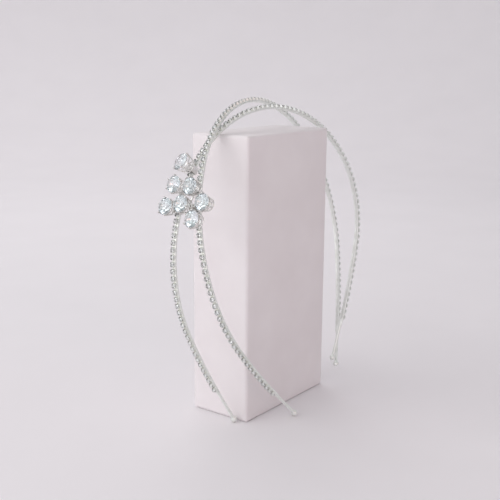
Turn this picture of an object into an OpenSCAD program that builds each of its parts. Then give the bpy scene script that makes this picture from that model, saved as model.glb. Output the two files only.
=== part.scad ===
// Rhinestone headband on its display block
// Two bands of small cupped stones cross over each other and hang on a plain
// upright block. A flower of larger crystals bridges the near legs of the bands.
// X runs along the block from the near legs to the far legs, Z is up, and the
// origin is the middle of the block's base.

/* [Display block] */
// Length of the block, across the headband
block_length = 60; // [56:1:60]
// Depth of the block, along the wearer's front to back
block_depth = 30; // [26:1:30]
// Height of the block, under the headband's crown
block_height = 123; // [112:0.5:123]
// Radius of the block's softened edges
block_edge = 1.5; // [1.5:0.5:4]

/* [Bands] */
// Width of each band's backing strip
strip_width = 2; // [1.8:0.1:2.1]
// Thickness of the backing strip
strip_thick = 0.9; // [0.7:0.05:1]
// Bare length without stones at each end
bare_end = 17; // [15:1:18]
// Diameter of the ball that closes each end
ball_dia = 2.8; // [2.4:0.1:3]

/* [Small stones] */
// Distance from one stone to the next along a band
stone_pitch = 2.86; // [2.8:0.02:2.9]
// Width of a small stone across its flats
stone_dia = 2; // [1.8:0.05:2]
// Outer diameter of the cup under a small stone
cup_dia = 2.2; // [2.1:0.05:2.25]
// Inner diameter of the cup
cup_bore = 1.94; // [1.9:0.01:1.96]

/* [Crystals] */
// Width of each flower crystal across its flats
crystal_dia = 6.9; // [6.5:0.1:7]
// Width of the single crystal above the flower
top_crystal_dia = 7.75; // [7:0.25:7.75]
// Outward tilt of the flower's outer crystals
petal_tilt = 0; // [0:1:4]
// Sideways tilt of the single crystal
top_tilt = 12; // [4:1:14]
// Thickness of the claws that hold the crystals
claw_dia = 0.5; // [0.45:0.05:0.55]

/* [Hidden] */
$fn = 32;

// Columns of a stretch of band: radius of its bend and length of its run
BEND = 0;
RUN = 1;
// Columns of a band: its top point, lean, turn, and its two halves
TOP = 0;
LEAN = 1;
TURN = 2;
NEAR = 3;
FAR = 4;
// Each half runs from the top through crown, shoulder and leg to the bare end
outer_shape = [
    [-0.4, 5.8, 135.9],
    -13.1,
    6.8,
    [[59, 61], [66, 76], [214, 33]],
    [[59, 60], [60, 51], [212, 41]]
];
inner_shape = [
    [-0.2, -3.8, 133.3],
    -4.6,
    -7.9,
    [[57, 52], [68, 71], [223, 31.7]],
    [[60, 59], [51, 44], [268, 39]]
];

// Heights of a band's layers from the middle of its thickness
strip_low = -1.2;
strip_high = strip_low + strip_thick;
cup_sink = 0.2;
cup_bottom = 0.13;
cup_floor = strip_high + cup_bottom;
cup_high = 0.42;
// Heights of a small stone's culet, girdle and table, and the table's share
stone_culet = -0.05;
girdle_low = 0.62;
girdle_high = 0.68;
stone_high = 0.92;
table_share = 0.58;
small_stone_sides = 8;
// Wire of the bare ends, and how far it reaches into the strip
end_wire = 1.3;
end_let_in = 0.8;
// How far a bore runs past the wall that it opens
bore_over = 1;

// The settings hold the bands in sleeves that pass round strip and stones
sleeve_gap = 0.15;
sleeve_wall = 0.5;
sleeve_length = 2.4;
outer_clasp_at = 73.5;
inner_clasp_at = 71;
top_clasp_at = 53.5;
sleeve_half = cup_dia / 2 + sleeve_gap;
sleeve_low = strip_low - sleeve_gap;
sleeve_high = stone_high + sleeve_gap;

// The flower's outer crystals: bearing around the centre, distance from it, and
// bearing of the first claw, so that the claws pass between the neighbours
BEARING = 0;
REACH = 1;
FIRST_CLAW = 2;
petals = [[2, 9.7, 25], [70, 7.7, 20], [125, 10.6, 20], [180, 9.3, 40], [312, 8.1, 15]];
petal_height = 5.9;
centre_height = 7.3;
top_height = 6.05;
hub_height = 2.6;
// The bar between the two sleeves, and the flower's place along it
bridge_dia = 0.9;
bridge_height = sleeve_high + sleeve_wall;
centre_share = 0.72;
spoke_dia = 0.9;
// The post under a setting, and the wall of the sleeve left under its end
post_dia = 2.2;
wall_under_post = 0.35;
post_low = sleeve_high + wall_under_post;

// Proportions of a cut crystal, as shares of its width
crown_rise = 0.16;
girdle_rise = 0.03;
pavilion_drop = 0.43;
crystal_table = 0.57;
star_table = 0.6;
star_width = 0.8;
star_rise = 0.12;
lower_drop = 0.47;
crystal_sides = 8;

// Proportions of a claw setting, as shares of its crystal's width
seat_ring_at = 0.44;
seat_ring_drop = 0.19;
foot_at = 0.36;
foot_drop = 0.6;
claw_at = 0.6;
claw_rise = 0.03;
tip_at = 0.505;
tip_rise = 0.15;
wire_sides = 8;
flower_claws = 6;
centre_first_claw = 40;
top_claws = 4;
top_first_claw = 45;

function turn_of(row, run) = run / row[BEND] * 180 / PI;

// Place and heading [x, z, angle] after a bend that starts at p
function bent(p, radius, angle) = [
    p[0] + radius * (sin(p[2] + angle) - sin(p[2])),
    p[1] + radius * (cos(p[2] + angle) - cos(p[2])),
    p[2] + angle
];

// Place and heading at a distance down a half band from its top
function along(rows, run, i = 0, p = [0, 0, 0]) =
    i == len(rows)
        ? [p[0] + run * cos(p[2]), p[1] - run * sin(p[2]), p[2]]
        : run <= rows[i][RUN]
            ? bent(p, rows[i][BEND], turn_of(rows[i], run))
            : along(rows, run - rows[i][RUN], i + 1,
                bent(p, rows[i][BEND], turn_of(rows[i], rows[i][RUN])));

function stoned_run(rows, i = 0) =
    i == len(rows) ? 0 : rows[i][RUN] + stoned_run(rows, i + 1);

function stones(rows) = floor(stoned_run(rows) / stone_pitch);

// Corners of a strip's edge at a height, link by link from the near end (way 1)
// or from the far end (way -1)
function side_corner(rows, run, height, side) =
    let (p = along(rows, run))
    [side * (p[0] + height * sin(p[2])), p[1] + height * cos(p[2])];
function corner(shape, i, height) =
    i < 0
        ? side_corner(shape[NEAR], min(-i * stone_pitch, stoned_run(shape[NEAR])), height, -1)
        : side_corner(shape[FAR], min(i * stone_pitch, stoned_run(shape[FAR])), height, 1);
function edge(shape, height, way) =
    let (first = -stones(shape[NEAR]) - 1, last = stones(shape[FAR]) + 1)
    way > 0
        ? [for (i = [first:last]) corner(shape, i, height)]
        : [for (i = [last:-1:first]) corner(shape, i, height)];

// Directions of a band's own plane in the part's frame
function leaned(v, a) = [v.x, v.y * cos(a) - v.z * sin(a), v.y * sin(a) + v.z * cos(a)];
function turned(v, a) = [v.x * cos(a) - v.y * sin(a), v.x * sin(a) + v.y * cos(a), v.z];
function of_band(band, v) = turned(leaned(v, band[LEAN]), band[TURN]);
function near_point(band, run) =
    let (p = along(band[NEAR], run)) band[TOP] + of_band(band, [-p[0], 0, p[1]]);
function near_outward(band, run) =
    let (p = along(band[NEAR], run)) of_band(band, [-sin(p[2]), 0, cos(p[2])]);

// The flower faces out midway between the directions of the two bands
outer_clasp = near_point(outer_shape, outer_clasp_at);
inner_clasp = near_point(inner_shape, inner_clasp_at);
facing = near_outward(outer_shape, outer_clasp_at) + near_outward(inner_shape, inner_clasp_at);
flower_out = facing / norm(facing);
bridge = outer_clasp - inner_clasp;
level_bridge = bridge - (bridge * flower_out) * flower_out;
flower_across = level_bridge / norm(level_bridge);
flower_up = cross(flower_out, flower_across);
flower_at = inner_clasp + centre_share * bridge;

// Puts children in the plane of a band: X along the crown, Z outward
module in_band(band) {
    translate(band[TOP])
        rotate([0, 0, band[TURN]])
            rotate([band[LEAN], 0, 0])
                children();
}

// Puts children at a distance down one half, X towards the end, Z outward
module at_run(rows, run) {
    p = along(rows, run);
    translate([p[0], 0, p[1]])
        rotate([0, p[2], 0])
            children();
}

// Puts children in the flower's frame: X across the bands, Z out
module in_flower() {
    x = flower_across;
    y = flower_up;
    z = flower_out;
    multmatrix([
        [x.x, y.x, z.x, flower_at.x],
        [x.y, y.y, z.y, flower_at.y],
        [x.z, y.z, z.z, flower_at.z],
        [0, 0, 0, 1]
    ])
        children();
}

// A drawn wire between two points of one upright plane, given as [x, z]
module wire(from, to, dia) {
    way = to - from;
    translate([from.x, 0, from.y])
        rotate([0, atan2(way.x, way.y), 0])
            cylinder(d = dia, h = norm(way), $fn = wire_sides);
}

// A round wire between two points in space
module strut(from, to, dia) {
    way = to - from;
    translate(from)
        rotate([0, acos(way.z / norm(way)), atan2(way.y, way.x)])
            cylinder(d = dia, h = norm(way));
}

module rounded_face(width, height, edge) {
    square([width - 2 * edge, height], center = true);
    square([width, height - 2 * edge], center = true);
    for (x = [-1, 1], y = [-1, 1])
        translate([x * (width / 2 - edge), y * (height / 2 - edge)])
            circle(edge);
}

module display_block() {
    reach = block_length + block_depth;
    color("white")
        translate([0, 0, block_height / 2])
            intersection() {
                linear_extrude(block_height, center = true)
                    rounded_face(block_length, block_depth, block_edge);
                rotate([90, 0, 0])
                    linear_extrude(reach, center = true)
                        rounded_face(block_length, block_height, block_edge);
                rotate([90, 0, 90])
                    linear_extrude(reach, center = true)
                        rounded_face(block_depth, block_height, block_edge);
            }
}

// The backing strip, one flat link for each stone
module strip(shape) {
    rotate([90, 0, 0])
        linear_extrude(strip_width, center = true)
            polygon(concat(edge(shape, strip_high, 1), edge(shape, strip_low, -1)));
}

// The straight bare end with its ball, let into the end of the strip
module bare_tip(rows) {
    at_run(rows, stoned_run(rows))
        translate([0, 0, (strip_low + strip_high) / 2]) {
            translate([-end_let_in, 0, 0])
                rotate([0, 90, 0])
                    cylinder(d = end_wire, h = bare_end + end_let_in);
            translate([bare_end, 0, 0])
                sphere(d = ball_dia);
        }
}

module cup() {
    difference() {
        translate([0, 0, strip_high - cup_sink])
            cylinder(d = cup_dia, h = cup_high - strip_high + cup_sink);
        translate([0, 0, cup_floor])
            cylinder(d = cup_bore, h = cup_high - cup_floor + bore_over);
    }
}

// Puts children at each stone of one half, the first half a pitch from the top
module at_stones(rows) {
    for (i = [0:stones(rows) - 1])
        at_run(rows, (i + 0.5) * stone_pitch)
            children();
}

module band(shape) {
    color("lightgray")
        in_band(shape) {
            strip(shape);
            bare_tip(shape[FAR]);
            at_stones(shape[FAR])
                cup();
            mirror([1, 0, 0]) {
                bare_tip(shape[NEAR]);
                at_stones(shape[NEAR])
                    cup();
            }
        }
}

// A cut from prisms that share one side view, turned evenly about Z
module cut(side_view, width, sides, first) {
    intersection_for (i = [0:sides / 2 - 1])
        rotate([90, 0, first + i * 360 / sides])
            linear_extrude(2 * width, center = true)
                polygon(side_view);
}

module small_stone() {
    half = stone_dia / 2;
    table = half * table_share;
    cut([
        [0, stone_culet],
        [half, girdle_low],
        [half, girdle_high],
        [table, stone_high],
        [-table, stone_high],
        [-half, girdle_high],
        [-half, girdle_low]
    ], stone_dia, small_stone_sides, 0);
}

module band_stones(shape) {
    color("azure")
        in_band(shape) {
            at_stones(shape[FAR])
                small_stone();
            mirror([1, 0, 0])
                at_stones(shape[NEAR])
                    small_stone();
        }
}

// A cut crystal with the underside of its girdle at the origin
module crystal(dia) {
    half = dia / 2;
    girdle = girdle_rise * dia;
    high = girdle + crown_rise * dia;
    main_table = crystal_table * half;
    star = star_table * half;
    color("azure")
        intersection() {
            cut([
                [0, -pavilion_drop * dia],
                [half, 0],
                [half, girdle],
                [main_table, high],
                [-main_table, high],
                [-half, girdle],
                [-half, 0]
            ], dia, crystal_sides, 0);
            cut([
                [0, -lower_drop * dia],
                [half, 0],
                [half, girdle],
                [star_width * half, girdle + star_rise * dia],
                [star, high],
                [-star, high],
                [-star_width * half, girdle + star_rise * dia],
                [-half, girdle],
                [-half, 0]
            ], dia, crystal_sides, 180 / crystal_sides);
        }
}

// A flat ring round Z, as wide and as thick as the claws
module ring(radius, height) {
    translate([0, 0, height])
        difference() {
            cylinder(r = radius + claw_dia / 2, h = claw_dia, center = true);
            cylinder(r = radius - claw_dia / 2, h = 2 * claw_dia, center = true);
        }
}

// A basket under a crystal: a seat ring and a foot plate joined by bent claws
module claw_setting(dia, claws, first) {
    ring(seat_ring_at * dia, -seat_ring_drop * dia);
    translate([0, 0, -foot_drop * dia])
        cylinder(r = foot_at * dia + claw_dia / 2, h = claw_dia, center = true);
    foot = [foot_at * dia, -foot_drop * dia];
    knee = [claw_at * dia, claw_rise * dia];
    tip = [tip_at * dia, tip_rise * dia];
    for (i = [0:claws - 1])
        rotate([0, 0, first + i * 360 / claws]) {
            wire(foot, knee, claw_dia);
            wire(knee, tip, claw_dia);
        }
}

// A sleeve round a band, in the frame of at_run
module sleeve() {
    inner = [sleeve_length + bore_over, 2 * sleeve_half, sleeve_high - sleeve_low];
    outer = [sleeve_length, inner.y + 2 * sleeve_wall, inner.z + 2 * sleeve_wall];
    translate([0, 0, (sleeve_low + sleeve_high) / 2])
        difference() {
            cube(outer, center = true);
            cube(inner, center = true);
        }
}

module near_sleeve(shape, run) {
    in_band(shape)
        mirror([1, 0, 0])
            at_run(shape[NEAR], run)
                sleeve();
}

// Puts children on the seat of one of the flower's outer crystals
module at_petal(row) {
    in_flower()
        rotate([0, 0, row[BEARING]])
            translate([row[REACH], 0, petal_height])
                rotate([0, petal_tilt, 0])
                    children();
}

module at_centre() {
    in_flower()
        translate([0, 0, centre_height])
            children();
}

module at_top() {
    in_band(inner_shape)
        mirror([1, 0, 0])
            at_run(inner_shape[NEAR], top_clasp_at)
                rotate([-top_tilt, 0, 0])
                    translate([0, 0, top_height])
                        children();
}

// A spoke from the post under the centre to the foot plate of an outer setting
module spoke(row) {
    drop = foot_drop * crystal_dia;
    foot = [
        row[REACH] - drop * sin(petal_tilt),
        petal_height - drop * cos(petal_tilt)
    ];
    in_flower()
        rotate([0, 0, row[BEARING]])
            wire([0, hub_height], foot, spoke_dia);
}

module flower_setting() {
    color("lightgray") {
        near_sleeve(outer_shape, outer_clasp_at);
        near_sleeve(inner_shape, inner_clasp_at);
        strut(
            inner_clasp + bridge_height * near_outward(inner_shape, inner_clasp_at),
            outer_clasp + bridge_height * near_outward(outer_shape, outer_clasp_at),
            bridge_dia
        );
        in_flower()
            translate([0, 0, bridge_height - bridge_dia / 2])
                cylinder(d = post_dia, h = centre_height - foot_drop * crystal_dia
                    - bridge_height + bridge_dia / 2);
        at_centre()
            claw_setting(crystal_dia, flower_claws, centre_first_claw);
        for (row = petals) {
            spoke(row);
            at_petal(row)
                claw_setting(crystal_dia, flower_claws, row[FIRST_CLAW]);
        }
    }
}

module top_setting() {
    foot = top_height - foot_drop * top_crystal_dia;
    color("lightgray") {
        near_sleeve(inner_shape, top_clasp_at);
        at_top()
            claw_setting(top_crystal_dia, top_claws, top_first_claw);
        at_top()
            translate([0, 0, post_low - top_height])
                cylinder(d = post_dia, h = foot - post_low + claw_dia / 4);
    }
}

display_block();
band(outer_shape);  // outer_band
band_stones(outer_shape);  // outer_band_stones
band(inner_shape);  // inner_band
band_stones(inner_shape);  // inner_band_stones
flower_setting();
top_setting();
at_centre() crystal(crystal_dia);  // crystal_centre
at_petal(petals[0]) crystal(crystal_dia);  // crystal_petal_1
at_petal(petals[1]) crystal(crystal_dia);  // crystal_petal_2
at_petal(petals[2]) crystal(crystal_dia);  // crystal_petal_3
at_petal(petals[3]) crystal(crystal_dia);  // crystal_petal_4
at_petal(petals[4]) crystal(crystal_dia);  // crystal_petal_5
at_top() crystal(top_crystal_dia);  // crystal_top
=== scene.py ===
"""Rhinestone headband on its display block.

Two bands of small cupped stones cross over each other and hang on a painted block. A flower of cut
crystals in claw settings bridges their near legs. Sizes are in millimetres in the part's own frame:
X along the block, Z up, the origin in the middle of the block's base. The studio's are in metres.
"""

import math

import bmesh
import bpy
from mathutils import Matrix, Vector


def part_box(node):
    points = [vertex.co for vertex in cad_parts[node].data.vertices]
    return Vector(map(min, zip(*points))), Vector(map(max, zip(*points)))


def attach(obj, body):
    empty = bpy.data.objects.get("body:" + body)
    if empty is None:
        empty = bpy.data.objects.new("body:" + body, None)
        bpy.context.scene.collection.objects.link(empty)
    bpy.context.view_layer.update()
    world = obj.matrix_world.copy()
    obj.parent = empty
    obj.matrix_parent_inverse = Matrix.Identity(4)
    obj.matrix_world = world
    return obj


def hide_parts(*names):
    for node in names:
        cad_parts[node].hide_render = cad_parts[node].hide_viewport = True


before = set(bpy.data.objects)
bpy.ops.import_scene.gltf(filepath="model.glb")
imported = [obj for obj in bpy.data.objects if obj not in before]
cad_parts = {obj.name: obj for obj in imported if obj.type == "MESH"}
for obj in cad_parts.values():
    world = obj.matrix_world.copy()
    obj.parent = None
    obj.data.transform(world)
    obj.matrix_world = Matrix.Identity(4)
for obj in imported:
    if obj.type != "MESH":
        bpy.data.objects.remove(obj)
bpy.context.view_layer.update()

MM = 0.001

# The camera at the photo's viewing angle, rolled a little as the photo is
EYE = (-309.12, -227.38, 153.49)
CAMERA_RIGHT = (0.6043, -0.7967, 0.0065)
CAMERA_UP = (0.1671, 0.1347, 0.9767)
LENS = 62.815
SENSOR_WIDTH = 36
CLIP_START = 0.01
CLIP_END = 20

# How round the block's edges are
BLOCK_EDGE = 1.5

# A band is planar: its top point, the lean and turn of its plane in degrees, and its two halves.
# Each half is a row of bends from the top down, given as radius and length.
OUTER = {
    "top": (-0.4, 5.8, 135.9),
    "lean": -13.1,
    "turn": 6.8,
    "near": [(59, 61), (66, 76), (214, 33)],
    "far": [(59, 60), (60, 51), (212, 41)],
}
INNER = {
    "top": (-0.2, -3.8, 133.3),
    "lean": -4.6,
    "turn": -7.9,
    "near": [(57, 52), (68, 71), (223, 31.7)],
    "far": [(60, 59), (51, 44), (268, 39)],
}
NEAR = -1
FAR = 1
STONE_PITCH = 2.86

# Backing strip, with heights from the middle of the band's thickness
STRIP_WIDTH = 2.0
STRIP_LOW = -1.2
STRIP_HIGH = -0.3
STRIP_MIDDLE = (STRIP_LOW + STRIP_HIGH) / 2
STRIP_ROUND = 0.25
# Length of the steps in which the strip is bent
BEND_STEP = 1.4
# Length and scale of each step in which the strip's end draws down to the wire
END_TAPER = [(0.5, 0.96), (0.6, 0.86), (0.7, 0.75)]

# Bare wire end: it starts inside the strip, swells at its neck and closes in a melted ball.
# The neck's two ends are measured back from the ball's middle.
WIRE_DIA = 1.3
WIRE_SUNK = 2.0
BARE_END = 17.0
NECK_FROM = 1.9
NECK_TO = 1.5
NECK_SWELL = 1.12
BALL_DIA = 2.8
BALL_RINGS = 9
# Angles from the wire's axis, in radians, at which the ball's rings start and close
BALL_START = math.acos(0.8)
BALL_CLOSE = 0.12

# Small stones and their cups
CUP_DIA = 2.2
CUP_BORE = 1.94
CUP_LOW = -0.5
CUP_FLOOR = -0.17
CUP_HIGH = 0.42
PRONG_BEARINGS = (45, 135, 225, 315)
# A prong's steps up from the rim: rise, way inward and scale
PRONG_STEPS = [(0.34, 0.0, 0.72), (0.2, 0.2, 0.85)]
STONE_DIA = 2.0
STONE_CULET = -0.05
GIRDLE_LOW = 0.62
GIRDLE_HIGH = 0.68
STONE_HIGH = 0.92
# The stone's table as a share of its width, its stars' start past the table's edge, and their slope
STONE_TABLE = 0.58
STONE_STAR_START = 1.01
STONE_STAR_SLOPE = 0.28

# Cups, stones and crystals have eight sides. The bearings of their facets are in degrees.
CUT_SIDES = 8
EIGHTH = 360 / CUT_SIDES
HALF_EIGHTH = EIGHTH / 2
QUARTER_EIGHTH = EIGHTH / 4
# Where a point half an eighth round from X lies, along X and aside of it, for a reach of one
CORNER_ALONG = math.cos(math.radians(HALF_EIGHTH))
CORNER_ASIDE = math.sin(math.radians(HALF_EIGHTH))

# The crystals' cut as shares of the width, and the blank, table and lower facets of half the width
GIRDLE_SHARE = 0.03
CROWN_SHARE = 0.16
PAVILION_SHARE = 0.43
BLANK_SHARE = 1.012
BLANK_SIDES = 32
TABLE_SHARE = 0.57
LOWER_SHARE = 0.24

# Flower: bearing, reach and first claw's bearing of each outer crystal, and the heights of all
CRYSTAL_DIA = 6.9
PETALS = [(2, 9.7, 25), (70, 7.7, 20), (125, 10.6, 20), (180, 9.3, 40), (312, 8.1, 15)]
PETAL_HEIGHT = 5.9
CENTRE_HEIGHT = 7.3
CENTRE_FIRST_CLAW = 40
FLOWER_CLAWS = 6
HUB_HEIGHT = 2.6
# Where the flower's middle lies on the way from the inner clasp to the outer one
CENTRE_SHARE = 0.72

# The single crystal above it
TOP_CRYSTAL_DIA = 7.75
TOP_HEIGHT = 6.05
TOP_TILT = 12
TOP_CLAWS = 4
TOP_FIRST_CLAW = 45

# Runs down the near halves at which the settings clasp the bands
OUTER_CLASP_AT = 73.5
INNER_CLASP_AT = 71.0
TOP_CLASP_AT = 53.5

# Claw baskets. The seat ring and the foot ring lie at shares (radius, height) of the crystal's width.
CLAW_DIA = 0.5
SEAT_AT = (0.44, -0.19)
FOOT_AT = (0.36, -0.6)
SEAT_WIRE_SHARE = 0.95
FOOT_PLATE_SHARE = 0.6
FOOT_SPOKE_SHARE = 0.8
# A claw's stations as shares of its crystal's width, with its own width as a share of the wire's
CLAW = [
    (0.36, -0.6, 1.0),
    (0.43, -0.38, 1.0),
    (0.5, -0.16, 1.0),
    (0.546, -0.02, 1.0),
    (0.556, 0.04, 0.96),
    (0.54, 0.082, 0.88),
    (0.503, 0.103, 0.78),
    (0.468, 0.11, 0.58),
    (0.452, 0.11, 0.3),
]

# Sleeves. They reach farther down the band than up it, over the next cup.
SLEEVE_LENGTH = 2.9
SLEEVE_MIDDLE = -0.25
SLEEVE_WIDTH = 3.5
SLEEVE_LOW = -1.85
SLEEVE_HIGH = 1.57
SLEEVE_WALL = 0.5
SLEEVE_ROUND = 0.45

# What joins sleeves and baskets. A post is sunk in what it stands on and ends in a narrower neck,
# given as height and radius.
BRIDGE_DIA = 0.9
SPOKE_DIA = 0.9
POST_RADIUS = 1.1
POST_OVER_FOOT = 0.3
FLOWER_POST_SUNK = 0.45
FLOWER_NECK = (0.3, 0.85)
TOP_POST_SUNK = 0.15
TOP_NECK = (0.2, 0.9)

# How finely round forms are made
WIRE_SIDES = 8
RING_STEPS = 36
BAR_SIDES = 12
POST_SIDES = 16
PLATE_SIDES = 24

# Edges up to this many degrees are shaded smooth
BLOCK_SMOOTH = 30
BAND_SMOOTH = 40
SETTING_SMOOTH = 50
COVE_SMOOTH = 60

# How far a face's normal shares a way that the face is taken to face, for flat faces and for facets
FACING = 0.9
FACET_FACING = 0.1
# How far the bearing of a face on the cup's rim shares a prong's
SAME_BEARING = 0.99
# Distances within which a face is at a height, two points are merged, and a point lies on a plane
AT_HEIGHT = 0.01
MERGED = 0.002
TOUCHING = 0.001

# Widths of the patches in each finish, the depth of its relief, and the reach of a crevice's shade
PAINT_CLOUDS = 22
ROLLER_STIPPLE = 0.8
STIPPLE_DEPTH = 0.05
PLATE_HAZE = 3.5
PLATE_GRAIN = 0.25
GRAIN_DEPTH = 0.01
CREVICE_REACH = 1.4
MELT_STREAKS = 6
FOIL_CRINKLE = 0.5
PAPER_PULP = 60
# How strongly the two glasses bend light
CRYSTAL_IOR = 1.62
STONE_IOR = 1.56

# Studio, in metres: a floor that bends up into a wall
FLOOR_RADIUS = 0.7
COVE_BEND = 0.8
COVE_HEIGHT = 0.9
COVE_STEPS = 16
COVE_SIDES = 96
ROOM_COLOUR = "F8F6F9"
ROOM_STRENGTH = 0.55

# A window of two rows of three panes: its middle, and the step from pane to pane across and up
WINDOW_MIDDLE = (-1.08, 0.46, 0.66)
WINDOW_ACROSS = (-0.28, -0.54, 0)
WINDOW_UP = (0, 0, 0.3)
WINDOW_AIM = (-0.06, 0, 0.06)
PANE_SIZE = (0.6, 0.58)
PANE_WATTS = 1.6
PANE_COLOUR = "FFFDFD"
# Other lamps: name, place, aim, width and height, watts, and colour
SOFTBOXES = [
    ("softbox_behind", (0.36, 0.46, 0.75), (0.36, 0.44, 0), (0.5, 0.5), 1.5, "FFFBFE"),
    ("softbox_front", (-0.72, -0.5, 0.45), (-0.06, 0, 0.09), (0.3, 0.3), 0.6, "F6F9FF"),
    ("softbox_right", (-0.25, -0.9, 0.3), (0, 0, 0.06), (0.4, 0.4), 0.52, "FFC6B6"),
]


def metres(point):
    return Vector(point) * MM


def turned(degrees, axis):
    return Matrix.Rotation(math.radians(degrees), 4, axis)


def moved(x, y, z):
    return Matrix.Translation(metres((x, y, z)))


# Making and finishing a piece

def let_go():
    """Deselects everything, so that an operator acts only on what comes next."""
    bpy.ops.object.select_all(action="DESELECT")


def started(name):
    """Names the primitive that was just added and puts its place into its mesh."""
    piece = bpy.context.object
    piece.name = name
    piece.data.name = name
    bpy.ops.object.transform_apply(location=True, rotation=True, scale=True)
    return piece


def editing():
    bpy.ops.object.mode_set(mode="EDIT")


def done_editing():
    bpy.ops.object.mode_set(mode="OBJECT")


def pick_faces(piece, wanted):
    """Selects only the faces that pass a test, in edit mode."""
    bpy.ops.mesh.select_mode(type="FACE")
    bpy.ops.mesh.select_all(action="DESELECT")
    mesh = bmesh.from_edit_mesh(piece.data)
    for face in mesh.faces:
        if wanted(face):
            face.select_set(True)
    mesh.select_flush_mode()
    bmesh.update_edit_mesh(piece.data)


def pick_all_faces(piece):
    pick_faces(piece, lambda face: True)


def extruded(step, scale, about):
    """Extrudes what is selected by one step, then scales its new end about a point, in edit mode."""
    bpy.ops.mesh.extrude_region_move(TRANSFORM_OT_translate={"value": metres(step)})
    bpy.ops.transform.resize(value=scale, center_override=metres(about))


def closed_up():
    """Merges what meets and turns every face outward, in edit mode."""
    bpy.ops.mesh.select_all(action="SELECT")
    bpy.ops.mesh.remove_doubles(threshold=MERGED * MM)
    bpy.ops.mesh.normals_make_consistent(inside=False)


def copied(model, places, name):
    """Sets a copy of a model, with a mesh of its own, at each place and joins them to one piece."""
    let_go()
    for place in places:
        copy = model.copy()
        copy.data = model.data.copy()
        copy.data.transform(place)
        bpy.context.collection.objects.link(copy)
        copy.select_set(True)
        bpy.context.view_layer.objects.active = copy
    if len(places) > 1:
        bpy.ops.object.join()
    piece = bpy.context.view_layer.objects.active
    piece.name = name
    piece.data.name = name
    return piece


def joined(pieces, name):
    let_go()
    for piece in pieces:
        piece.select_set(True)
    bpy.context.view_layer.objects.active = pieces[0]
    bpy.ops.object.join()
    piece = bpy.context.object
    piece.name = name
    piece.data.name = name
    return piece


def removed(*models):
    for model in models:
        bpy.data.objects.remove(model)


def smoothed(piece, degrees):
    let_go()
    piece.select_set(True)
    bpy.context.view_layer.objects.active = piece
    bpy.ops.object.shade_smooth_by_angle(angle=math.radians(degrees))


def placed(piece, place):
    piece.data.transform(place)
    return piece


def blank(name, sides, radius, low, high):
    """An upright blank of many sides, one of which faces along X, from one height to another."""
    let_go()
    bpy.ops.mesh.primitive_cylinder_add(vertices=sides, radius=radius * MM, depth=(high - low) * MM,
                                        location=metres((0, 0, (high + low) / 2)),
                                        rotation=(0, 0, math.pi / sides))
    return started(name)


# Places along the bands

def along(rows, run):
    """Place and heading (x, z, degrees) at a distance down a half band from its top."""
    x = z = heading = 0.0
    for radius, length in rows:
        step = min(run, length) / radius
        x += radius * (math.sin(heading + step) - math.sin(heading))
        z += radius * (math.cos(heading + step) - math.cos(heading))
        heading += step
        run -= min(run, length)
    x += run * math.cos(heading)
    z -= run * math.sin(heading)
    return x, z, math.degrees(heading)


def half_of(band, side):
    return band["far"] if side == FAR else band["near"]


def stoned_run(rows):
    return sum(length for radius, length in rows)


def band_place(band):
    return moved(*band["top"]) @ turned(band["turn"], "Z") @ turned(band["lean"], "X")


def at_run(band, side, run):
    """A place down one half: Z outward, Y across the band."""
    x, z, heading = along(half_of(band, side), run)
    return band_place(band) @ moved(side * x, 0, z) @ turned(side * heading, "Y")


def stone_places(band):
    places = []
    for side in (NEAR, FAR):
        count = int(stoned_run(half_of(band, side)) / STONE_PITCH)
        for i in range(count):
            places.append(at_run(band, side, (i + 0.5) * STONE_PITCH))
    return places


def flower_place():
    """The flower faces out midway between the two bands: X across them, Z out."""
    outer = at_run(OUTER, NEAR, OUTER_CLASP_AT)
    inner = at_run(INNER, NEAR, INNER_CLASP_AT)
    bridge = outer.translation - inner.translation
    out = (outer.col[2].xyz + inner.col[2].xyz).normalized()
    across = (bridge - bridge.dot(out) * out).normalized()
    up = out.cross(across)
    centre = inner.translation + CENTRE_SHARE * bridge
    return Matrix.Translation(centre) @ Matrix((across, up, out)).transposed().to_4x4()


def petal_place(bearing, reach):
    return flower_place() @ turned(bearing, "Z") @ moved(reach, 0, PETAL_HEIGHT)


def centre_place():
    return flower_place() @ moved(0, 0, CENTRE_HEIGHT)


def top_place():
    return at_run(INNER, NEAR, TOP_CLASP_AT) @ turned(-TOP_TILT, "X") @ moved(0, 0, TOP_HEIGHT)


# Materials

def linear(hex_colour):
    """A colour from its sRGB hex value."""
    values = []
    for i in (0, 2, 4):
        s = int(hex_colour[i:i + 2], 16) / 255
        values.append(s / 12.92 if s <= 0.04045 else ((s + 0.055) / 1.055) ** 2.4)
    return (*values, 1.0)


def added(tree, kind, inputs=None, stops=(), **settings):
    """Adds a node with its settings. Each input is a value or the output that it is linked from.

    The stops of a colour ramp are pairs of a position and an sRGB hex value.
    """
    made = tree.nodes.new(kind)
    for name, value in settings.items():
        setattr(made, name, value)
    for socket, value in (inputs or {}).items():
        if isinstance(value, bpy.types.NodeSocket):
            tree.links.new(value, made.inputs[socket])
        else:
            made.inputs[socket].default_value = value
    if stops:
        for element, (position, colour) in zip(made.color_ramp.elements, stops):
            element.position = position
            element.color = linear(colour)
    return made


def new_material(name):
    made = bpy.data.materials.new(name)
    made.use_nodes = True
    made.node_tree.nodes.clear()
    return made, made.node_tree


def per_mm(size):
    """The scale of a pattern whose patches are this many millimetres wide."""
    return 1 / (size * MM)


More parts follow.
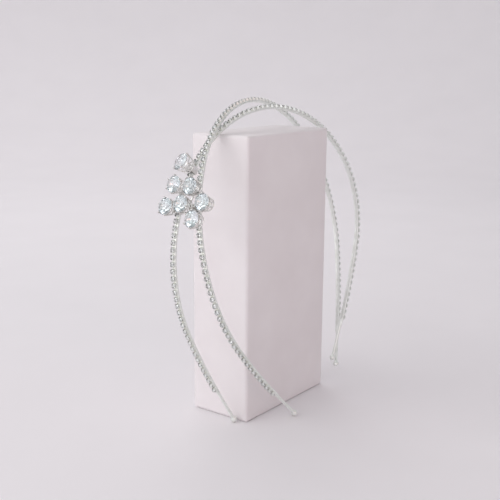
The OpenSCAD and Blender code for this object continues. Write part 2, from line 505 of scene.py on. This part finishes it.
def matt_emulsion_on_board():
    """White matt emulsion, rolled on sanded fibreboard.

    It dries without gloss and the roller leaves a fine stipple, so the eye sees an even, chalky face
    whose tone barely drifts.
    """
    made, tree = new_material("matt_emulsion_rolled_on_sanded_board")
    place = added(tree, "ShaderNodeTexCoord").outputs["Object"]
    clouds = added(tree, "ShaderNodeTexNoise", {
        "Vector": place, "Scale": per_mm(PAINT_CLOUDS), "Detail": 3.0})
    tone = added(tree, "ShaderNodeValToRGB", {"Fac": clouds.outputs["Fac"]},
                 stops=((0.3, "E4DFE0"), (0.7, "EAE6E7")))
    rough = added(tree, "ShaderNodeMapRange", {
        "Value": clouds.outputs["Fac"], "To Min": 0.5, "To Max": 0.62})
    stipple = added(tree, "ShaderNodeTexNoise", {
        "Vector": place, "Scale": per_mm(ROLLER_STIPPLE), "Detail": 4.0})
    bump = added(tree, "ShaderNodeBump", {
        "Height": stipple.outputs["Fac"], "Strength": 0.25, "Distance": STIPPLE_DEPTH * MM})
    paint = added(tree, "ShaderNodeBsdfPrincipled", {
        "Base Color": tone.outputs["Color"],
        "Roughness": rough.outputs["Result"],
        "Normal": bump.outputs["Normal"]})
    added(tree, "ShaderNodeOutputMaterial", {"Surface": paint.outputs["BSDF"]})
    return made


def plated_brass(name, light, dark, crevice_shade_colour, low, high):
    """Brass with a thin silver-tone plate, hazed where it was soldered and handled.

    The eye sees a soft pale shine between two roughnesses, rougher in the haze. In crevices and between
    the cups the colour is darkened towards a grey by the shader's ambient occlusion, which is painted
    shade. The real grain is a few hundredths of a millimetre. It is drawn coarser, so that it isn't
    lost as noise.
    """
    made, tree = new_material(name)
    place = added(tree, "ShaderNodeTexCoord").outputs["Object"]
    haze = added(tree, "ShaderNodeTexNoise", {
        "Vector": place, "Scale": per_mm(PLATE_HAZE), "Detail": 4.0})
    tone = added(tree, "ShaderNodeValToRGB", {"Fac": haze.outputs["Fac"]},
                 stops=((0.35, dark), (0.62, light)))
    rough = added(tree, "ShaderNodeMapRange", {
        "Value": haze.outputs["Fac"], "From Min": 0.3, "From Max": 0.7, "To Min": high, "To Max": low})
    grain = added(tree, "ShaderNodeTexNoise", {
        "Vector": place, "Scale": per_mm(PLATE_GRAIN), "Detail": 3.0})
    bump = added(tree, "ShaderNodeBump", {
        "Height": grain.outputs["Fac"], "Strength": 0.12, "Distance": GRAIN_DEPTH * MM})
    # Painted shade: ambient occlusion blends the plate towards a darker grey in crevices and between the
    # cups
    crevice = added(tree, "ShaderNodeAmbientOcclusion", {
        "Color": tone.outputs["Color"], "Distance": CREVICE_REACH * MM}, samples=8)
    unshaded_share = added(tree, "ShaderNodeMapRange", {
        "Value": crevice.outputs["AO"], "From Min": 0.35, "From Max": 0.8})
    plate = added(tree, "ShaderNodeMix", {
        "Factor": unshaded_share.outputs["Result"], "A": linear(crevice_shade_colour), "B": tone.outputs["Color"]},
        data_type="RGBA")
    metal = added(tree, "ShaderNodeBsdfPrincipled", {
        "Base Color": plate.outputs["Result"],
        "Metallic": 1.0,
        "Roughness": rough.outputs["Result"],
        "Normal": bump.outputs["Normal"]})
    added(tree, "ShaderNodeOutputMaterial", {"Surface": metal.outputs["BSDF"]})
    return made


def cut_glass(name, light, dark, ior):
    """Clear glass, ground flat and polished, with a faint cool tint that varies in the melt.

    The facets are mirror smooth, so the eye sees sharp bright and grey fields that change from facet
    to facet.
    """
    made, tree = new_material(name)
    place = added(tree, "ShaderNodeTexCoord").outputs["Object"]
    melt = added(tree, "ShaderNodeTexNoise", {
        "Vector": place, "Scale": per_mm(MELT_STREAKS), "Detail": 2.0})
    tone = added(tree, "ShaderNodeValToRGB", {"Fac": melt.outputs["Fac"]},
                 stops=((0.4, dark), (0.6, light)))
    glass = added(tree, "ShaderNodeBsdfPrincipled", {
        "Base Color": tone.outputs["Color"],
        "Roughness": 0.0,
        "IOR": ior,
        "Transmission Weight": 1.0})
    added(tree, "ShaderNodeOutputMaterial", {"Surface": glass.outputs["BSDF"]})
    return made


def foil_backing(name, cover, rough):
    """Silver fired on the back of a stone. The lower its cover, the more light passes.

    The eye sees it through the glass, as the brightness behind the facets.
    """
    made, tree = new_material(name)
    place = added(tree, "ShaderNodeTexCoord").outputs["Object"]
    crinkle = added(tree, "ShaderNodeTexNoise", {
        "Vector": place, "Scale": per_mm(FOIL_CRINKLE), "Detail": 2.0})
    tone = added(tree, "ShaderNodeValToRGB", {"Fac": crinkle.outputs["Fac"]},
                 stops=((0, "F8FAFB"), (1, "FFFFFF")))
    foil = added(tree, "ShaderNodeBsdfPrincipled", {
        "Base Color": tone.outputs["Color"],
        "Metallic": cover,
        "Roughness": rough,
        "IOR": CRYSTAL_IOR,
        "Transmission Weight": 1.0})
    added(tree, "ShaderNodeOutputMaterial", {"Surface": foil.outputs["BSDF"]})
    return made


def studio_paper():
    """Matt background paper. Its pulp leaves a faint cloudiness, so the floor isn't dead flat."""
    made, tree = new_material("studio_paper_matt")
    place = added(tree, "ShaderNodeTexCoord").outputs["Object"]
    pulp = added(tree, "ShaderNodeTexNoise", {
        "Vector": place, "Scale": per_mm(PAPER_PULP), "Detail": 3.0})
    tone = added(tree, "ShaderNodeValToRGB", {"Fac": pulp.outputs["Fac"]},
                 stops=((0.3, "EBE9EB"), (0.7, "EDEBED")))
    paper = added(tree, "ShaderNodeBsdfPrincipled", {"Base Color": tone.outputs["Color"], "Roughness": 0.9})
    added(tree, "ShaderNodeOutputMaterial", {"Surface": paper.outputs["BSDF"]})
    return made


PAINT = matt_emulsion_on_board()
# Drawn strip and stamped cups stay satin. Claws and sleeves are polished after soldering. The third
# # colour of each is painted shade for its crevices.
BAND_METAL = plated_brass("silver_plated_brass_drawn", light="F6FAF6", dark="ECF0EB", crevice_shade_colour="DDDED7",
                          low=0.42, high=0.56)
SETTING_METAL = plated_brass("silver_plated_brass_soldered", light="F6F6F4", dark="E6E5E1",
                             crevice_shade_colour="DCDBD6", low=0.2, high=0.36)
CRYSTAL_GLASS = cut_glass("lead_crystal_ground_and_polished", light="F8FCFF", dark="E9FAFA",
                          ior=CRYSTAL_IOR)
STONE_GLASS = cut_glass("clear_glass_machine_cut", light="FFFFFD", dark="F6FAF8", ior=STONE_IOR)
# The small stones have a full foil. The crystals' silver is thin, so that some light passes.
FOIL = foil_backing("silver_foil_fired_on_glass", cover=1.0, rough=0.35)
THIN_FOIL = foil_backing("thin_silver_fired_on_glass", cover=0.5, rough=0.05)


# Display block

def display_block():
    low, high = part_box("display_block")
    let_go()
    bpy.ops.mesh.primitive_cube_add(size=1, location=(low + high) / 2, scale=high - low)
    piece = started("display_block_painted")
    editing()
    bpy.ops.mesh.select_all(action="SELECT")
    bpy.ops.mesh.bevel(offset=BLOCK_EDGE * MM, segments=6)
    closed_up()
    done_editing()
    smoothed(piece, BLOCK_SMOOTH)
    piece.data.materials.append(PAINT)
    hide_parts("display_block")
    return piece


# Bands

def bend_down(rows, side):
    """Bends the selected end of the strip along one half of its band, in edit mode."""
    x = z = heading = 0.0
    for radius, length in rows:
        step = length / radius
        centre = (side * (x - radius * math.sin(heading)), 0, z - radius * math.cos(heading))
        bpy.ops.mesh.spin(steps=round(length / BEND_STEP), angle=-side * step,
                          center=metres(centre), axis=(0, 1, 0))
        x += radius * (math.sin(heading + step) - math.sin(heading))
        z += radius * (math.cos(heading + step) - math.cos(heading))
        heading += step
    return x, z, heading


def taper_end(x, z, heading, side):
    """Draws the selected end of the strip down to the wire that follows it, in edit mode."""
    ahead = Vector((side * math.cos(heading), 0, -math.sin(heading)))
    out = Vector((side * math.sin(heading), 0, math.cos(heading)))
    middle = Vector((side * x, 0, z)) + out * STRIP_MIDDLE
    for length, share in END_TAPER:
        middle = middle + ahead * length
        extruded(ahead * length, (share, share, share), middle)


def strip(band, name):
    """The rounded backing strip, bent from the top down its far half, then its near half."""
    let_go()
    bpy.ops.mesh.primitive_plane_add(size=MM, location=metres((0, 0, STRIP_MIDDLE)),
                                     rotation=(0, math.pi / 2, 0))
    piece = started(name)
    editing()
    bpy.ops.mesh.select_all(action="SELECT")
    bpy.ops.transform.resize(value=(1, STRIP_WIDTH, STRIP_HIGH - STRIP_LOW),
                             center_override=metres((0, 0, STRIP_MIDDLE)))
    bpy.ops.mesh.bevel(offset=STRIP_ROUND * MM, segments=3, affect="VERTICES")
    pick_all_faces(piece)
    taper_end(*bend_down(band["far"], FAR), FAR)
    pick_faces(piece, lambda face: all(abs(v.co.x) < TOUCHING * MM for v in face.verts))
    taper_end(*bend_down(band["near"], NEAR), NEAR)
    closed_up()
    done_editing()
    return placed(piece, band_place(band))


def turned_wire(name, stations, sides=POST_SIDES):
    """A round form along Z, given as height and radius at each station."""
    let_go()
    height, radius = stations[0]
    bpy.ops.mesh.primitive_circle_add(vertices=sides, radius=radius * MM, fill_type="NGON",
                                      location=metres((0, 0, height)))
    piece = started(name)
    editing()
    pick_all_faces(piece)
    for next_height, next_radius in stations[1:]:
        share = next_radius / radius
        extruded((0, 0, next_height - height), (share, share, share), (0, 0, next_height))
        height = next_height
        radius = next_radius
    closed_up()
    done_editing()
    return piece


def bare_tip():
    """The bare wire with its melted ball, from inside the strip's end outward along Z."""
    wire = WIRE_DIA / 2
    ball = BALL_DIA / 2
    stations = [(-WIRE_SUNK, wire), (BARE_END - NECK_FROM, wire), (BARE_END - NECK_TO, wire * NECK_SWELL)]
    span = math.pi - BALL_START
    for i in range(BALL_RINGS):
        turn = span - i * (span - BALL_CLOSE) / (BALL_RINGS - 1)
        stations.append((BARE_END + ball * math.cos(turn), ball * math.sin(turn)))
    return turned_wire("bare_tip", stations)


def cup():
    """One stamped cup with four prongs bent over the stone."""
    piece = blank("cup", CUT_SIDES, CUP_DIA / 2 / CORNER_ALONG, CUP_LOW, CUP_HIGH)
    editing()
    pick_faces(piece, lambda face: face.normal.z > FACING)
    bpy.ops.mesh.inset(thickness=(CUP_DIA - CUP_BORE) / 2 * MM)
    bpy.ops.mesh.extrude_region_move(TRANSFORM_OT_translate={"value": metres((0, 0, CUP_FLOOR - CUP_HIGH))})
    for bearing in PRONG_BEARINGS:
        bend_prong(piece, bearing)
    pick_faces(piece, lambda face: face.normal.z < -FACING)
    bpy.ops.mesh.delete(type="FACE")
    done_editing()
    return piece


def bend_prong(piece, bearing):
    """Draws one prong up from the cup's rim and bends it over the girdle, in edit mode."""
    around = math.radians(bearing)
    way = Vector((math.cos(around), math.sin(around), 0))
    rim = (CUP_DIA + CUP_BORE) / 4

    def on_rim(face):
        middle = face.calc_center_median() / MM
        at_rim = abs(middle.z - CUP_HIGH) < AT_HEIGHT
        at_bearing = middle.xy.normalized().dot(way.xy) > SAME_BEARING
        return face.normal.z > FACING and at_rim and at_bearing

    pick_faces(piece, on_rim)
    place = way * rim + Vector((0, 0, CUP_HIGH))
    for rise, inward, share in PRONG_STEPS:
        step = Vector((0, 0, rise)) - way * inward
        place = place + step
        extruded(step, (share, share, 1), place)


def grind(point, normal):
    """Grinds one facet on the whole piece, in edit mode."""
    bpy.ops.mesh.select_all(action="SELECT")
    bpy.ops.mesh.bisect(plane_co=point, plane_no=normal, use_fill=True, clear_outer=True,
                        threshold=TOUCHING * MM)


def facet(bearing, radius, height, rise, run):
    """Grinds a facet that passes a point and falls by rise over run away from the middle."""
    around = math.radians(bearing)
    way = Vector((math.cos(around), math.sin(around), 0))
    slope = math.hypot(rise, run)
    normal = way * (abs(rise) / slope) + Vector((0, 0, math.copysign(run / slope, rise)))
    grind(metres(way * radius + Vector((0, 0, height))), normal)


def foiled(piece, glass, back):
    """Clear glass down to the girdle, a silvered back on the facets below it."""
    piece.data.materials.append(glass)
    piece.data.materials.append(back)
    for face in piece.data.polygons:
        face.material_index = 1 if face.normal.z < -FACET_FACING else 0


def small_stone():
    """One machine-cut stone: table, eight stars, eight crown and eight pavilion facets."""
    half = STONE_DIA / 2
    table = half * STONE_TABLE
    piece = blank("small_stone", CUT_SIDES, half / CORNER_ALONG, STONE_CULET, STONE_HIGH)
    editing()
    for i in range(CUT_SIDES):
        facet(EIGHTH * i, half, GIRDLE_HIGH, STONE_HIGH - GIRDLE_HIGH, half - table)
        facet(EIGHTH * i, half, GIRDLE_LOW, STONE_CULET - GIRDLE_LOW, half)
    for i in range(CUT_SIDES):
        facet(EIGHTH * i + HALF_EIGHTH, table * STONE_STAR_START, STONE_HIGH, STONE_STAR_SLOPE, 1)
    done_editing()
    foiled(piece, STONE_GLASS, FOIL)
    return piece


def soldered_band(band, name, node):
    """One soldered band: strip, cups and bare tips."""
    cup_model = cup()
    tip_model = bare_tip()
    ends = []
    for side in (NEAR, FAR):
        end = at_run(band, side, stoned_run(half_of(band, side)))
        ends.append(end @ moved(0, 0, STRIP_MIDDLE) @ turned(90 * side, "Y"))
    cups = copied(cup_model, stone_places(band), "cups")
    tips = copied(tip_model, ends, "tips")
    piece = joined([strip(band, "strip"), cups, tips], name)
    removed(cup_model, tip_model)
    smoothed(piece, BAND_SMOOTH)
    piece.data.materials.append(BAND_METAL)
    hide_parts(node)
    return piece


def band_stones(band, name, node):
    model = small_stone()
    piece = copied(model, stone_places(band), name)
    removed(model)
    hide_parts(node)
    return piece


# Crystals

def grind_pairs(corner, tip):
    """Grinds a mirrored pair of facets at each of eight corners of the girdle.

    Each facet passes the corner and a tip beside it, and faces the bearing halfway between the two.
    """
    way = tip - corner
    around = math.radians(QUARTER_EIGHTH)
    side = Vector((math.cos(around), math.sin(around), 0))
    fall = -way.z / way.dot(side)
    normal = (side * fall + Vector((0, 0, 1))).normalized()
    if tip.z < 0:
        normal = -normal
    for i in range(CUT_SIDES):
        turn = turned(EIGHTH * i, "Z")
        for mirror in (1, -1):
            mirrored = Vector((normal.x, normal.y * mirror, normal.z))
            grind(turn @ metres(corner), turn @ mirrored)


def cut_crystal(dia):
    """A brilliant cut with table, stars, kites and girdle facets, its girdle's underside at zero."""
    half = dia / 2
    girdle = GIRDLE_SHARE * dia
    rise = CROWN_SHARE * dia
    drop = PAVILION_SHARE * dia
    table = TABLE_SHARE * half
    high = girdle + rise
    piece = blank("crystal", BLANK_SIDES, half * BLANK_SHARE, -drop, high)
    star_tip = (table * CORNER_ALONG + half) / 2
    star_tip_high = girdle + (half - star_tip * CORNER_ALONG) * rise / (half - table)
    editing()
    for i in range(CUT_SIDES):
        facet(EIGHTH * i, half, girdle, rise, half - table)
        facet(EIGHTH * i, half, 0, -drop, half)
    for i in range(CUT_SIDES):
        facet(EIGHTH * i + HALF_EIGHTH, star_tip, star_tip_high, high - star_tip_high,
              star_tip - table * CORNER_ALONG)
    kite_side = Vector((star_tip * CORNER_ALONG, star_tip * CORNER_ASIDE, star_tip_high))
    grind_pairs(Vector((half, 0, girdle)), kite_side)
    reach = LOWER_SHARE * half
    depth = (half - reach * CORNER_ALONG) * drop / half
    lower_tip = Vector((reach * CORNER_ALONG, reach * CORNER_ASIDE, -depth))
    grind_pairs(Vector((half, 0, 0)), lower_tip)
    done_editing()
    foiled(piece, CRYSTAL_GLASS, THIN_FOIL)
    return piece


def crystals():
    """The flower's six crystals, copied from one, and the larger one above them."""
    flower_model = cut_crystal(CRYSTAL_DIA)
    top_model = cut_crystal(TOP_CRYSTAL_DIA)
    seats = [("crystal_centre", flower_model, centre_place()), ("crystal_top", top_model, top_place())]
    for number, (bearing, reach, first) in enumerate(PETALS, 1):
        seats.append((f"crystal_petal_{number}", flower_model, petal_place(bearing, reach)))
    made = []
    for node, model, place in seats:
        piece = copied(model, [place], f"{node}_cut")
        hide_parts(node)
        made.append(piece)
    removed(flower_model, top_model)
    return made


# Claw settings

def drawn(name, stations):
    """A wire drawn through stations (x, z, diameter) of one upright plane, narrowed to its end."""
    let_go()
    x, z, dia = stations[0]
    ways = [Vector((b[0] - a[0], 0, b[1] - a[1])).normalized() for a, b in zip(stations, stations[1:])]
    headings = [ways[0]]
    headings += [(a + b).normalized() for a, b in zip(ways, ways[1:])]
    headings += [ways[-1]]
    first = headings[0]
    bpy.ops.mesh.primitive_circle_add(vertices=WIRE_SIDES, radius=dia / 2 * MM, fill_type="NGON",
                                      location=metres((x, 0, z)),
                                      rotation=(0, math.atan2(first.x, first.z), 0))
    piece = started(name)
    editing()
    pick_all_faces(piece)
    for (x0, z0, dia0), (x1, z1, dia1), way, last in zip(stations, stations[1:], headings[1:], headings):
        share = dia1 / dia0
        extruded((x1 - x0, 0, z1 - z0), (share, share, share), (x1, 0, z1))
        turn = math.atan2(way.x, way.z) - math.atan2(last.x, last.z)
        bpy.ops.transform.rotate(value=-turn, orient_axis="Y", center_override=metres((x1, 0, z1)))
    closed_up()
    done_editing()
    return piece


def ring(name, radius, height, dia):
    """A round wire bent into a closed ring about Z."""
    let_go()
    bpy.ops.mesh.primitive_circle_add(vertices=WIRE_SIDES, radius=dia / 2 * MM, fill_type="NGON",
                                      location=metres((radius, 0, height)), rotation=(math.pi / 2, 0, 0))
    piece = started(name)
    editing()
    bpy.ops.mesh.select_all(action="SELECT")
    bpy.ops.mesh.delete(type="ONLY_FACE")
    bpy.ops.mesh.select_all(action="SELECT")
    bpy.ops.mesh.spin(steps=RING_STEPS, angle=2 * math.pi, center=metres((0, 0, height)), axis=(0, 0, 1))
    closed_up()
    done_editing()
    return piece


def bar(name, start, end, dia):
    """A straight round bar between two points in metres."""
    way = end - start
    piece = turned_wire(name, [(0, dia / 2), (way.length / MM, dia / 2)], BAR_SIDES)
    return placed(piece, Matrix.Translation(start) @ way.to_track_quat("Z", "Y").to_matrix().to_4x4())


def basket(dia, claws):
    """An open basket, its first claw along X: claws bent over the crystal, two rings, a plate, spokes."""
    seat_radius, seat_height = (share * dia for share in SEAT_AT)
    foot_radius, foot_height = (share * dia for share in FOOT_AT)
    rim = FOOT_PLATE_SHARE * foot_radius
    edge = CLAW_DIA / 4
    low = foot_height - CLAW_DIA / 2
    high = low + CLAW_DIA
    plate = [(low, rim - edge), (low + edge, rim), (high - edge, rim), (high, rim - edge)]
    claw = drawn("claw", [(x * dia, z * dia, CLAW_DIA * share) for x, z, share in CLAW])
    spoke = bar("foot_spoke", metres((0, 0, foot_height)), metres((foot_radius, 0, foot_height)),
                CLAW_DIA * FOOT_SPOKE_SHARE)
    turns = [turned(i * 360 / claws, "Z") for i in range(claws)]
    parts = [
        copied(claw, turns, "claws"),
        ring("seat_ring", seat_radius, seat_height, CLAW_DIA * SEAT_WIRE_SHARE),
        ring("foot_ring", foot_radius, foot_height, CLAW_DIA),
        turned_wire("foot_plate", plate, PLATE_SIDES),
        copied(spoke, turns, "foot_spokes"),
    ]
    removed(claw, spoke)
    return joined(parts, "basket")


def sleeve(place):
    """A sleeve folded round the band, open at both ends."""
    let_go()
    middle = (SLEEVE_MIDDLE, 0, (SLEEVE_HIGH + SLEEVE_LOW) / 2)
    size = (SLEEVE_LENGTH, SLEEVE_WIDTH, SLEEVE_HIGH - SLEEVE_LOW)
    bpy.ops.mesh.primitive_cube_add(size=1, location=metres(middle), scale=metres(size))
    piece = started("sleeve")
    editing()
    bpy.ops.mesh.select_mode(type="EDGE")
    bpy.ops.mesh.select_all(action="DESELECT")
    mesh = bmesh.from_edit_mesh(piece.data)
    for edge in mesh.edges:
        way = edge.verts[0].co - edge.verts[1].co
        edge.select_set(abs(way.x) > 0.5 * SLEEVE_LENGTH * MM)
    bmesh.update_edit_mesh(piece.data)
    bpy.ops.mesh.bevel(offset=SLEEVE_ROUND * MM, segments=3)
    pick_faces(piece, lambda face: abs(face.normal.x) > FACING)
    bpy.ops.mesh.inset(thickness=SLEEVE_WALL * MM, use_individual=True)
    bpy.ops.mesh.bridge_edge_loops()
    closed_up()
    done_editing()
    return placed(piece, place)


def post(low, foot, neck):
    """A post from a height up into a basket's foot, with its neck's height and radius."""
    high = foot + POST_OVER_FOOT
    neck_height, neck_radius = neck
    return turned_wire("post", [(low, POST_RADIUS), (high - neck_height, POST_RADIUS), (high, neck_radius)])


def flower_setting():
    """Two sleeves, the bridge between them, the centre's post with its spokes, and six baskets."""
    outer_clasp = at_run(OUTER, NEAR, OUTER_CLASP_AT)
    inner_clasp = at_run(INNER, NEAR, INNER_CLASP_AT)
    parts = [sleeve(outer_clasp), sleeve(inner_clasp)]
    start = inner_clasp @ moved(0, 0, SLEEVE_HIGH)
    end = outer_clasp @ moved(0, 0, SLEEVE_HIGH)
    parts.append(bar("bridge", start.translation, end.translation, BRIDGE_DIA))
    centre_post = post(SLEEVE_HIGH - FLOWER_POST_SUNK, CENTRE_HEIGHT + FOOT_AT[1] * CRYSTAL_DIA, FLOWER_NECK)
    parts.append(placed(centre_post, flower_place()))
    hub = flower_place() @ moved(0, 0, HUB_HEIGHT)
    seats = [centre_place() @ turned(CENTRE_FIRST_CLAW, "Z")]
    for bearing, reach, first in PETALS:
        seat = petal_place(bearing, reach)
        foot = seat @ moved(0, 0, FOOT_AT[1] * CRYSTAL_DIA)
        parts.append(bar("spoke", hub.translation, foot.translation, SPOKE_DIA))
        seats.append(seat @ turned(first, "Z"))
    model = basket(CRYSTAL_DIA, FLOWER_CLAWS)
    parts.append(copied(model, seats, "baskets"))
    removed(model)
    return finished_setting(parts, "flower_setting_soldered", "flower_setting")


def top_setting():
    """The single crystal's sleeve, post and basket."""
    low = SLEEVE_HIGH - TOP_POST_SUNK - TOP_HEIGHT
    parts = [
        sleeve(at_run(INNER, NEAR, TOP_CLASP_AT)),
        placed(post(low, FOOT_AT[1] * TOP_CRYSTAL_DIA, TOP_NECK), top_place()),
        placed(basket(TOP_CRYSTAL_DIA, TOP_CLAWS), top_place() @ turned(TOP_FIRST_CLAW, "Z")),
    ]
    return finished_setting(parts, "top_setting_soldered", "top_setting")


def finished_setting(parts, name, node):
    piece = joined(parts, name)
    smoothed(piece, SETTING_SMOOTH)
    piece.data.materials.append(SETTING_METAL)
    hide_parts(node)
    return piece


# Floor, light and camera

def studio():
    """A pale paper floor that curves up into a plain wall all round."""
    let_go()
    bpy.ops.mesh.primitive_circle_add(vertices=COVE_SIDES, radius=FLOOR_RADIUS, fill_type="NGON")
    cove = started("studio_cove")
    editing()
    pick_all_faces(cove)
    radius = FLOOR_RADIUS
    height = 0.0
    turns = [math.radians(90 * i / COVE_STEPS) for i in range(1, COVE_STEPS + 1)]
    stations = [(FLOOR_RADIUS + COVE_BEND * math.sin(t), COVE_BEND * (1 - math.cos(t))) for t in turns]
    stations.append((FLOOR_RADIUS + COVE_BEND, COVE_HEIGHT))
    for next_radius, next_height in stations:
        share = next_radius / radius
        bpy.ops.mesh.extrude_region_move(TRANSFORM_OT_translate={"value": (0, 0, next_height - height)})
        bpy.ops.transform.resize(value=(share, share, share), center_override=(0, 0, next_height))
        radius = next_radius
        height = next_height
    bpy.ops.mesh.delete(type="FACE")
    bpy.ops.mesh.primitive_circle_add(vertices=COVE_SIDES, radius=FLOOR_RADIUS, fill_type="NGON")
    closed_up()
    done_editing()
    smoothed(cove, COVE_SMOOTH)
    cove.data.materials.append(studio_paper())


def lamp(name, place, aim, size, watts, colour):
    data = bpy.data.lights.new(name, "AREA")
    data.shape = "RECTANGLE"
    data.size = size[0]
    data.size_y = size[1]
    data.energy = watts
    data.color = linear(colour)[:3]
    light = bpy.data.objects.new(name, data)
    light.location = place
    light.rotation_euler = (Vector(aim) - Vector(place)).to_track_quat("-Z", "Y").to_euler()
    light.visible_camera = False
    bpy.context.collection.objects.link(light)


def surroundings():
    """A softly lit room, a tall window on the left and three softboxes."""
    world = bpy.data.worlds.new("soft_room")
    world.use_nodes = True
    tree = world.node_tree
    tree.nodes.clear()
    back = added(tree, "ShaderNodeBackground", {"Color": linear(ROOM_COLOUR), "Strength": ROOM_STRENGTH})
    added(tree, "ShaderNodeOutputWorld", {"Surface": back.outputs["Background"]})
    bpy.context.scene.world = world
    for side in (-1, 0, 1):
        for row in (-1, 1):
            pane = Vector(WINDOW_MIDDLE) + side * Vector(WINDOW_ACROSS) + row * Vector(WINDOW_UP)
            lamp("window_pane", pane, WINDOW_AIM, PANE_SIZE, PANE_WATTS, PANE_COLOUR)
    for softbox in SOFTBOXES:
        lamp(*softbox)


def camera():
    data = bpy.data.cameras.new("photo_camera")
    data.lens = LENS
    data.sensor_width = SENSOR_WIDTH
    data.clip_start = CLIP_START
    data.clip_end = CLIP_END
    made = bpy.data.objects.new("photo_camera", data)
    made.location = metres(EYE)
    right = Vector(CAMERA_RIGHT)
    up = Vector(CAMERA_UP)
    made.rotation_euler = Matrix((right, up, right.cross(up))).transposed().to_euler()
    bpy.context.collection.objects.link(made)
    bpy.context.scene.camera = made


camera()
pieces = [
    display_block(),
    soldered_band(OUTER, "outer_band_soldered", "outer_band"),
    band_stones(OUTER, "outer_band_stones_set", "outer_band_stones"),
    soldered_band(INNER, "inner_band_soldered", "inner_band"),
    band_stones(INNER, "inner_band_stones_set", "inner_band_stones"),
    flower_setting(),
    top_setting(),
    *crystals(),
]
for piece in pieces:
    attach(piece, "root")
studio()
surroundings()
bpy.context.scene.view_settings.view_transform = "Standard"
